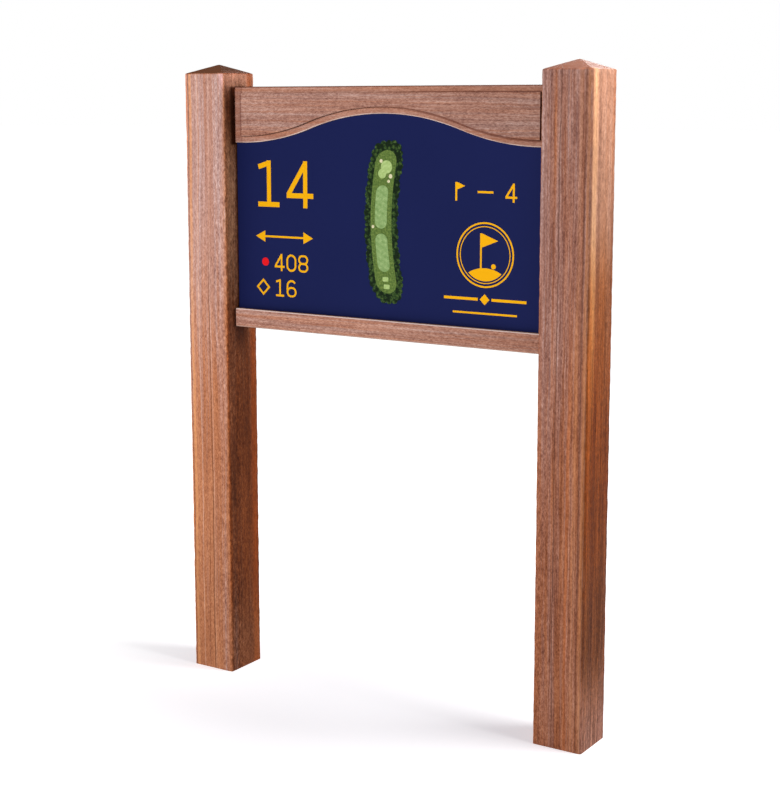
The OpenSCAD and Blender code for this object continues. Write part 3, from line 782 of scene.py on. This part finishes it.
def make_post(name, side, seed, cracks):
    """A post with its mortises, panel groove, screw and plug holes and drying checks. side is -1 or 1."""
    bm = bmesh.new()
    post_skin(bm)
    wear_post(bm, side, seed)
    obj = object_of(name, bm)

    inner = side * HALF_GAP
    out = inner - side * 2 * OVERCUT
    mortises = bmesh.new()
    for low, high in (TOP_TENON, BOTTOM_TENON):
        far = inner + side * (TENON_LEN + MORTISE_FREE)
        span_box_into(mortises, out, far, TENON_T / 2 + CLEAR, low - CLEAR, high + CLEAR)
    cut_by(obj, mortises)
    groove = bmesh.new()
    span_box_into(groove, out, inner + side * GROOVE_D, GROOVE_W / 2, BOTTOM_TENON[1], TOP_TENON[0])
    cut_by(obj, groove)
    holes = bmesh.new()
    hole, head, plug = SCREW_D / 2 + CLEAR, HEAD_D / 2 + CLEAR, PLUG_D / 2 + CLEAR / 2
    seat = PLUG_L + OVERCUT
    radii = [(0, plug), (seat, plug), (seat, head), (seat + HEAD_H, hole), (seat + SCREW_LEN + CLEAR, hole)]
    for z in (*TOP_SCREWS, BOTTOM_SCREW):
        rod_into(holes, Vector((side * SCREW_X, POST_HALF + OVERCUT, z)), Vector((0, -1, 0)), radii)
    cut_by(obj, holes)
    checks = bmesh.new()
    for start, end, out_way, across, width, depth in cracks:
        a, b = Vector(start), Vector(end)
        path = []
        for i in range(CHECK_STEPS + 1):
            wander = noise.noise(Vector((i * 0.09, a.x * 40, a.y * 40)))
            path.append(a.lerp(b, i / CHECK_STEPS) + across * CHECK_SWAY * wander)
        crack_into(checks, path, out_way, across, width, depth)
    cut_by(obj, checks)
    smooth_over(obj, POST_SHARP)
    return obj


def rail_section(path, spans):
    """A rail's section from corners (y, z, radius), which are rounded.

    spans gives how many extra points a side has, by its number. Every section of a rail has as many points.
    """
    small = 1e-6
    arcs = []
    for i, (y, z, r) in enumerate(path):
        p = Vector((y, z))
        if r <= 0:
            arcs.append([p])
            continue
        a = Vector(path[i - 1][:2]) - p
        b = Vector(path[(i + 1) % len(path)][:2]) - p
        la, lb = max(a.length, small), max(b.length, small)
        r = min(r, la * 0.45, lb * 0.45)
        start, end = p + a / la * r, p + b / lb * r
        arcs.append([start * (1 - u) ** 2 + p * 2 * u * (1 - u) + end * u ** 2 for u in (0, 1 / 3, 2 / 3, 1)])
    pts = []
    for i, arc in enumerate(arcs):
        pts += arc
        following = arcs[(i + 1) % len(arcs)][0]
        count = spans.get(i, 0)
        for k in range(1, count + 1):
            pts.append(arc[-1].lerp(following, k / (count + 1)))
    return pts


def loft_x(stations, section):
    """A solid along X through the sections that section(x) gives."""
    bm = bmesh.new()
    rings = []
    for x in stations:
        rings.append([bm.verts.new((x, p.x, p.y)) for p in section(x)])
    join_rings(bm, rings)
    close_ends(bm, rings)
    bmesh.ops.recalc_face_normals(bm, faces=bm.faces)
    bm.normal_update()
    return bm


def ogee(x, inset=0.0):
    """Height of the ogee line moved into the rail by inset."""
    x = abs(x)
    crown = RAIL_LOW + OGEE_RISE - OGEE_R
    join = (OGEE_R + inset) * OGEE_SPAN / (2 * OGEE_R)
    if x <= join:
        return crown + math.sqrt((OGEE_R + inset) ** 2 - x * x)
    if x < OGEE_SPAN:
        return RAIL_LOW + OGEE_R - math.sqrt((OGEE_R - inset) ** 2 - (OGEE_SPAN - x) ** 2)
    return RAIL_LOW + inset


# A rail's unevenness, by its scales and its depth, and the radii of its groove's lips, ogee and field
RAIL_STRETCH = (6, 60, 60)
RAIL_WEAR = 0.00022
GROOVE_LIP = 0.0004
OGEE_ROUND = 0.0016
FIELD_ROUND = 0.0010


def roughen(bm, seed, lip):
    """Pushes a rail's skin in by a slow wander, and its arrises by up to lip more."""
    moved = []
    for v in bm.verts:
        if abs(abs(v.co.x) - HALF_GAP) < 1e-6:
            moved.append(v.co.copy())
            continue
        sharp = 0.0
        normals = [f.normal for f in v.link_faces]
        if len(normals) > 1:
            sharp = 1 - min(n.dot(v.normal) for n in normals)
        depth = RAIL_WEAR * uneven(v.co, RAIL_STRETCH, seed)
        depth += lip * min(1.0, sharp * 5) * uneven(v.co, (80, 30, 30), seed * 1.9) ** 2
        push = v.normal * depth
        moved.append(v.co - Vector((0, push.y, push.z)))
    for v, co in zip(bm.verts, moved):
        v.co = co


def spread(a, b, step):
    """Places from a to b, both included, about a step apart."""
    n = max(1, round((b - a) / step))
    return [a + (b - a) * i / n for i in range(n)] + [b]


def mirrored(half):
    """Places on both sides of the middle, from those on one side."""
    return [-x for x in reversed(half[1:])] + half


def make_top_rail():
    """The top rail's stock: ogee, raised field with its sunk border, and panel groove."""
    face, field = RAIL_HALF_T, RAIL_HALF_T - BORDER_D
    g = GROOVE_W / 2
    last = HALF_GAP - 0.0006
    stations = mirrored(spread(0, FIELD_X - 0.00002, 0.003) + spread(FIELD_X, last, 0.0035) + [HALF_GAP])
    least_field = 0.012

    def section(x):
        low, groove = ogee(x), ogee(x, GROOVE_D)
        lip = min(ogee(min(abs(x), FIELD_X), BORDER_W), FIELD_TOP - least_field)
        proud = face if abs(x) < FIELD_X else field
        path = [
            (-field, low, OGEE_ROUND), (-field, lip, 0.0),
            (-proud, lip, FIELD_ROUND), (-proud, FIELD_TOP, FIELD_ROUND),
            (-field, FIELD_TOP, 0.0), (-field, RAIL_TOP, RAIL_ROUND),
            (face, RAIL_TOP, RAIL_ROUND), (face, low, OGEE_ROUND),
            (g, low, GROOVE_LIP), (g, groove, 0.0), (-g, groove, 0.0), (-g, low, GROOVE_LIP)]
        return rail_section(path, {0: 2, 2: 14, 4: 2, 5: 6, 6: 16, 7: 1, 8: 1, 11: 1})

    bm = loft_x(stations, section)
    bmesh.ops.dissolve_degenerate(bm, dist=1e-7, edges=bm.edges)
    bm.normal_update()
    roughen(bm, Vector((3.1, 7.7, 1.2)), 0.0004)
    return object_of("top_rail_timber", bm)


def make_bottom_rail():
    """The bottom rail's stock with its panel groove."""
    t, g = RAIL_HALF_T, GROOVE_W / 2
    stations = mirrored(spread(0, HALF_GAP - 0.0006, 0.004) + [HALF_GAP])
    groove = BOTTOM_TENON[1]
    path = [
        (-t, BOTTOM_LOW, RAIL_ROUND), (-t, BOTTOM_TOP, RAIL_ROUND),
        (-g, BOTTOM_TOP, GROOVE_LIP), (-g, groove, 0.0), (g, groove, 0.0), (g, BOTTOM_TOP, GROOVE_LIP),
        (t, BOTTOM_TOP, RAIL_ROUND), (t, BOTTOM_LOW, RAIL_ROUND)]
    section = rail_section(path, {0: 9, 1: 2, 3: 1, 5: 2, 6: 9, 7: 9})
    bm = loft_x(stations, lambda x: section)
    roughen(bm, Vector((9.4, 2.6, 5.5)), 0.0005)
    return object_of("bottom_rail_timber", bm)


def join_tenons(obj, low, high, screws):
    """Unites a rail with its two tenons, drilled for the joint screws."""
    root = 0.004
    add = bmesh.new()
    for side in (-1, 1):
        span_box_into(add, side * (HALF_GAP - root), side * (HALF_GAP + TENON_LEN), TENON_T / 2, low, high)
    cut_by(obj, add, "UNION")
    drill = bmesh.new()
    radii = [(0, SCREW_D / 2 + CLEAR), (0.04, SCREW_D / 2 + CLEAR)]
    for side in (-1, 1):
        for z in screws:
            rod_into(drill, Vector((side * SCREW_X, -0.02, z)), Vector((0, 1, 0)), radii)
    cut_by(obj, drill)


# Each drying check: start, end, way out of the timber, way across the check, width and depth
X_OUT, Y_OUT = Vector((1, 0, 0)), Vector((0, 1, 0))
WIDE, NARROW = (0.0012, 0.0022), (0.0010, 0.0018)

left = make_post("left_post_timber", -1, Vector((2.2, 5.1, 0.7)), [
    ((-0.3905, -POST_HALF, 0.0), (-0.3880, -POST_HALF, 0.36), -Y_OUT, X_OUT, *WIDE),
    ((-HALF_GAP, -0.0130, 0.02), (-HALF_GAP, -0.0110, 0.30), X_OUT, Y_OUT, *NARROW),
    ((-0.372, POST_HALF, 0.55), (-0.370, POST_HALF, 0.92), Y_OUT, X_OUT, *WIDE)])
right = make_post("right_post_timber", 1, Vector((8.6, 1.4, 3.9)), [
    ((0.3680, -POST_HALF, 0.02), (0.3700, -POST_HALF, 0.42), -Y_OUT, X_OUT, *WIDE),
    ((OUTER_X, 0.0120, 0.30), (OUTER_X, 0.0140, 0.62), X_OUT, Y_OUT, *NARROW),
    ((0.3960, POST_HALF, 0.12), (0.3980, POST_HALF, 0.48), Y_OUT, X_OUT, *WIDE)])
top_rail = make_top_rail()
join_tenons(top_rail, *TOP_TENON, TOP_SCREWS)
bottom_rail = make_bottom_rail()
join_tenons(bottom_rail, *BOTTOM_TENON, (BOTTOM_SCREW,))
drains = bmesh.new()
for x in (-HALF_GAP / 3, HALF_GAP / 3):
    start = Vector((x, 0, BOTTOM_LOW - OVERCUT))
    rod_into(drains, start, Vector((0, 0, 1)), [(0, DRAIN_D / 2), (DRAIN_CUT, DRAIN_D / 2)])
cut_by(bottom_rail, drains)
for obj in (top_rail, bottom_rail):
    smooth_over(obj, RAIL_SHARP)

# Each streak: its centre and its radii along x and y, from and to which height or neither, strength and tint
LEFT_STREAKS = [
    (-OUTER_X, -POST_HALF, 0.0045, 0.0080, 0.50, RUST),
    (-0.4275, -POST_HALF, 0.0020, 0.0100, 0.45, UMBER),
    (-0.4225, -POST_HALF, 0.0045, 0.0120, 0.50, AMBER),
    (-0.4060, -POST_HALF, 0.0018, 0.0100, 0.20, FAWN),
    (-0.3805, -POST_HALF, 0.0016, 0.0100, -0.5, 0.80, 0.60, DARK),
    (-0.3775, -POST_HALF, 0.0014, 0.0100, 0.16, FAWN),
    # Painted shadow of the top rail on the inner face in front of it
    (-HALF_GAP, -0.0300, 0.0200, 0.0200, 1.020, 1.170, 1.00, UMBER),
    (-HALF_GAP, -0.0300, 0.0200, 0.0180, 0.790, 1.030, 0.30, FAWN),
    # Painted shade on the inner face at and under the bottom rail, in the next two rows
    (-HALF_GAP, -0.0060, 0.0200, 0.0300, 0.655, 0.740, 1.00, UMBER),
    (-HALF_GAP, -0.0340, 0.0200, 0.0150, 0.600, 0.760, 0.50, UMBER),
    (-HALF_GAP, -0.0300, 0.0200, 0.0180, 0.300, 0.460, 0.45, UMBER),
    (-HALF_GAP, -0.0100, 0.0200, 0.0420, 0.380, 0.640, 0.25, UMBER),
    # Painted light: the inner face above the top rail is paler
    (-HALF_GAP, 0.0000, 0.0200, 0.0900, 1.160, 1.200, 0.92, LIT_PINK),
    (-HALF_GAP, 0.0335, 0.0200, 0.0130, 0.62, RUST)]
RIGHT_STREAKS = [
    # Painted highlight along the front-outer arris, in the next three rows
    (OUTER_X, -0.0330, 0.0100, 0.0140, 0.62, 1.5, 0.58, GOLDEN_GLINT),
    (OUTER_X, -0.0325, 0.0100, 0.0110, -0.5, 0.75, 0.60, AMBER),
    (OUTER_X, -0.0400, 0.0100, 0.0100, 0.34, 0.82, 0.50, ORANGE),
    (OUTER_X, 0.0060, 0.0100, 0.0280, -0.5, 0.95, 0.36, AMBER),
    # Painted light: the outer face is paler high up
    (OUTER_X, 0.0060, 0.0100, 0.0600, 0.88, 1.5, 0.38, FAWN),
    (OUTER_X, -0.0465, 0.0060, 0.0060, 0.30, UMBER),
    (OUTER_X, -0.0150, 0.0080, 0.0090, 0.28, UMBER),
    (0.4265, -POST_HALF, 0.0040, 0.0060, 0.45, AMBER),
    (0.4203, -POST_HALF, 0.0026, 0.0100, 0.45, UMBER),
    (0.4120, -POST_HALF, 0.0050, 0.0100, 0.25, AMBER),
    (0.3990, -POST_HALF, 0.0040, 0.0100, -0.5, 0.7, 0.25, RUST),
    (0.3740, -POST_HALF, 0.0016, 0.0100, 0.50, DARK),
    (OUTER_X, -0.0300, 0.0080, 0.0200, -0.5, 0.28, 0.15, UMBER),
    # Painted shade: the outer face is darker low down
    (OUTER_X, 0.0000, 0.0120, 0.0900, 0.10, 0.56, 0.26, UMBER),
    # Painted reflection of the floor: the outer face is paler at its foot
    (OUTER_X, 0.0000, 0.0080, 0.0900, -0.5, 0.08, 0.65, FAWN),
    # Painted light: the right post's top is paler
    (0.4000, 0.0000, 0.0800, 0.0900, 1.180, 1.212, 0.14, LIT_CREAM)]
WOOD = {
    "left_post_timber": timber(
        "left_post_wood", "z", seed=(1.3, 4.1, 0.4), pith=(-0.62, 0.22), gain=(0.58, 0.695, 0.80),
        mauve=(-0.02, 0.72), lined=0.13, wavy=0.0014, streaks=LEFT_STREAKS,
        curls=[(-0.3480, -POST_HALF, 0.0260, 0.0300), (-HALF_GAP, -0.0250, 0.0100, 0.0300)],
        post=(-POST_X, 0.10), sides=(INNER_GLOW, INNER_FOOT, corner_shade, CAP_SHADE), contrast=0.84),
    "right_post_timber": timber(
        "right_post_wood", "z", seed=(7.9, 2.3, 1.7), pith=(0.135, 0.20), gain=(0.57, 0.62, 0.70),
        mauve=(0.10, 0.50), lined=0.40, wavy=0.0010, streaks=RIGHT_STREAKS,
        curls=[(0.3450, -POST_HALF, 0.0260, 0.0300, -0.5, 0.66), (OUTER_X, 0.0, 0.0100, 0.0600, 0.85, 1.5)],
        post=(POST_X, 0.12), end_dark=0.12, sides=(OUTER_GLOW, OUTER_FOOT, OUTER_TOP, CAP_FRONT), contrast=0.90),
    "top_rail_timber": timber(
        "top_rail_wood", "x", seed=(3.7, 0.9, 6.1), pith=(0.05, 1.32), gain=(0.368, 0.40, 0.425),
        mauve=(0.80, 0.0), lined=0.22, wavy=0.0034,
        sides=(sunk_border, field_edge_shadow, top_arris_shade, low_arris_glint, end_strip_shade)),
    "bottom_rail_timber": timber(
        "bottom_rail_wood", "x", seed=(5.2, 8.8, 2.9), pith=(-0.06, 0.55), gain=(0.446, 0.478, 0.50),
        mauve=(0.66, 0.0), lined=0.22, wavy=0.0034, sides=(ledge, ledge_shade, lower_edge)),
}
for obj, node in ((left, "left_post"), (right, "right_post"), (top_rail, "top_rail"), (bottom_rail, "bottom_rail")):
    coat(obj.data, WOOD[obj.name])
    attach(obj, "root")
    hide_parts(node)

plug_wood = timber("plug_wood", "x", seed=(0.6, 6.6, 4.4), pith=(0.1, 0.9), gain=(0.60, 0.60, 0.60))
gold = film("gold_vinyl", (252, 184, 12), (246, 176, 6))
steel_mat = steel()
FINISH = {
    "face_sheet": navy_sheet(),
    "backing_board": board(),
    "panel_packers": rubber(),
    "top_rail_screws": steel_mat,
    "bottom_rail_screws": steel_mat,
    "top_rail_plugs": plug_wood,
    "bottom_rail_plugs": plug_wood,
    "tee_dot_film": film("red_vinyl", (238, 28, 36), (230, 22, 32)),
    "plan_woods_film": printed_ground(
        "woods_print", base=(46, 72, 36), dark=(18, 32, 18), light=(98, 122, 58), scale=420, crowns=150),
    "plan_rough_film": printed_ground(
        "rough_print", base=(98, 122, 58), dark=(66, 94, 44), light=(132, 152, 78), scale=260),
    "plan_fairway_film": printed_ground(
        "fairway_print", base=(138, 168, 104), dark=(118, 150, 88), light=(170, 196, 134), scale=160,
        stripes=(0.011, 0.5)),
    "plan_greens_film": printed_ground(
        "greens_print", base=(172, 198, 122), dark=(152, 180, 104), light=(196, 216, 150), scale=200,
        stripes=(0.006, -0.6)),
    "plan_bunkers_film": printed_ground(
        "sand_print", base=(226, 220, 180), dark=(206, 196, 150), light=(240, 236, 206), scale=400),
}
for name in ("hole_number_film", "distance_arrow_film", "distance_figures_film", "index_film", "par_film",
             "badge_film", "divider_film"):
    FINISH[name] = gold
for name, mat in FINISH.items():
    coat(nodes[name].data, mat)

# A plain pale floor. Its own glow grows away from the sign, so that only the shadows at the feet show
FLOOR_REACH = 60
SHADOW_CENTRE = (0.26, -0.05, 0)
SHADOW_NEAR, SHADOW_FAR = 0.35, 1.3
floor_shader = Shader("studio_floor")
floor_tone = floor_shader.noise(floor_shader.place(), each_way(0.8))
floor_white = floor_shader.mix(floor_tone, (0.84, 0.84, 0.84, 1), (0.87, 0.87, 0.87, 1))
floor_mat = floor_shader.finish(floor_white, 0.7, specular=0.0)
away = floor_shader.vec("DISTANCE", floor_shader.place(), SHADOW_CENTRE)
far = floor_shader.step(away, SHADOW_NEAR, SHADOW_FAR)
sockets = floor_shader.bsdf.inputs
glow_colour = floor_shader.mix(far, (0.985, 0.965, 1.02, 1), (1, 1, 1, 1))
floor_shader.put(sockets["Emission Color"], glow_colour)
floor_shader.put(sockets["Emission Strength"], floor_shader.remap(far, 0.0, 1.0, 0.60, 1.0))
floor_mesh = bpy.data.meshes.new("floor")
corners = [(x * FLOOR_REACH, y * FLOOR_REACH, 0) for x, y in ((-1, -1), (1, -1), (1, 1), (-1, 1))]
floor_mesh.from_pydata(corners, [], [(0, 1, 2, 3)])
floor = bpy.data.objects.new("floor", floor_mesh)
floor_mesh.materials.append(floor_mat)
bpy.context.scene.collection.objects.link(floor)


def receivers(name, members, state):
    """A set of objects that a light is kept to (INCLUDE), or kept off (EXCLUDE)."""
    group = bpy.data.collections.new(name)
    for obj in members:
        group.objects.link(obj)
    for item in group.collection_objects:
        item.light_linking.link_state = state
    return group


def area_light(name, at, aim, size, power, reach, colour=(1, 1, 1)):
    """A soft box. reach is the set of objects that it is kept to, or kept off."""
    data = bpy.data.lights.new(name, "AREA")
    data.shape = "RECTANGLE"
    data.size, data.size_y = size
    data.energy = power
    data.color = colour
    obj = bpy.data.objects.new(name, data)
    obj.location = at
    obj.rotation_mode = "QUATERNION"
    obj.rotation_quaternion = (Vector(aim) - Vector(at)).to_track_quat("-Z", "Y")
    obj.visible_camera = False
    bpy.context.scene.collection.objects.link(obj)
    obj.light_linking.receiver_collection = reach


rails = [top_rail, bottom_rail]
sheet_objects = [nodes["face_sheet"]] + [nodes[n] for n in FINISH if n.endswith("_film")]
off_floor = receivers("off_floor", [floor], "EXCLUDE")
off_panel = receivers("front_off", [floor] + rails + sheet_objects, "EXCLUDE")
sheet_only = receivers("sheet_on", sheet_objects, "INCLUDE")
rails_only = receivers("rails_on", rails, "INCLUDE")
floor_only = receivers("floor_on", [floor], "INCLUDE")
area_light("key", at=(0.93, 0.0, 1.64), aim=(0.43, 0.0, 1.10), size=(0.14, 0.40), power=14.5, reach=off_floor,
           colour=(1.0, 0.96, 0.91))
area_light("front", at=(-0.85, -1.5, 0.98), aim=(-0.25, 0.0, 0.75), size=(0.35, 1.5), power=56,
           reach=off_panel)
area_light("sheet", at=(0.7, -3.2, 1.4), aim=(0.0, 0.0, 0.9), size=(2.4, 1.6), power=45, reach=sheet_only)
area_light("rails", at=(-0.25, -1.6, 1.35), aim=(-0.70, 0.0, 1.0), size=(0.45, 0.45), power=68,
           reach=rails_only)
area_light("back", at=(-0.6, 3.0, 1.85), aim=(0.0, 0.0, 0.6), size=(1.8, 1.4), power=92, reach=off_floor)
area_light("floor_light", at=(1.75, 0.34, 3.3), aim=(-0.1, 0.0, 0.0), size=(1.3, 1.3), power=92,
           reach=floor_only)

# The surroundings look white but light the sign only a little
WORLD_LIGHT, WORLD_SEEN = 0.07, 1.0
world = bpy.data.worlds.new("studio")
bpy.context.scene.world = world
world.use_nodes = True
sky = world.node_tree
background = sky.nodes["Background"]
background.inputs["Color"].default_value = (1, 1, 1, 1)
seen = sky.nodes.new("ShaderNodeLightPath")
level = sky.nodes.new("ShaderNodeMapRange")
sky.links.new(seen.outputs["Is Camera Ray"], level.inputs["Value"])
level.inputs["To Min"].default_value = WORLD_LIGHT
level.inputs["To Max"].default_value = WORLD_SEEN
sky.links.new(level.outputs["Result"], background.inputs["Strength"])

scene = bpy.context.scene
scene.view_settings.view_transform = "Standard"
scene.view_settings.look = "None"

# The camera that fits the photograph. Angles are in radians, and PX stands for pixels of the photograph
TILT = 0.1497
HEADING = 0.5701
FOCAL_PX = 1609.0
LONG_SIDE_PX = 788
SENSOR_MM = 36.0
camera_data = bpy.data.cameras.new("camera")
camera_data.sensor_width = SENSOR_MM
camera_data.lens = FOCAL_PX * SENSOR_MM / LONG_SIDE_PX
camera_data.shift_y = -0.06
camera_data.clip_start, camera_data.clip_end = 0.05, 200
camera = bpy.data.objects.new("camera", camera_data)
camera.location = (1.5950, -2.4770, 1.1242)
look = Vector((-math.sin(HEADING) * math.cos(TILT), math.cos(HEADING) * math.cos(TILT), -math.sin(TILT)))
camera.rotation_mode = "QUATERNION"
camera.rotation_quaternion = look.to_track_quat("-Z", "Y")
scene.collection.objects.link(camera)
scene.camera = camera
